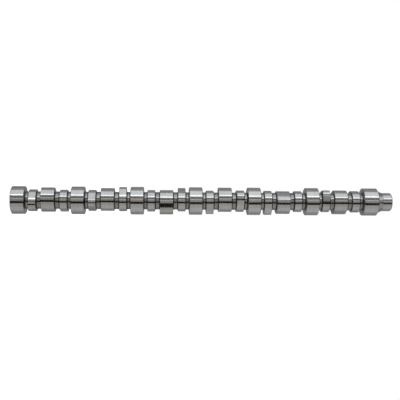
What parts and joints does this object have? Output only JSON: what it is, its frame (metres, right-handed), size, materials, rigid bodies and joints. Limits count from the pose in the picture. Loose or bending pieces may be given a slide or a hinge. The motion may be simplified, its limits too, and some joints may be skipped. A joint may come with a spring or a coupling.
{
  "type": "camshaft",
  "caption": "One-piece steel camshaft for an in-line six diesel, with bearing journals, valve and injector lobes, and a stepped nose for the drive gear.",
  "frame": {"origin": "centre of the rear end face, which the shaft stands on", "axes": "+Z along the shaft axis from the rear end face towards the drive-gear nose; +X and +Y across the shaft, with the nose keyway on the +Y side"},
  "size_m": [0.0761, 0.0762, 1.0498],
  "materials": {
    "ground_steel": "ground bright on journals and lobes, darker and softer on the machined core"
  },
  "bodies": {
    "root": {"camshaft": "ground_steel"}
  },
  "joints": []
}
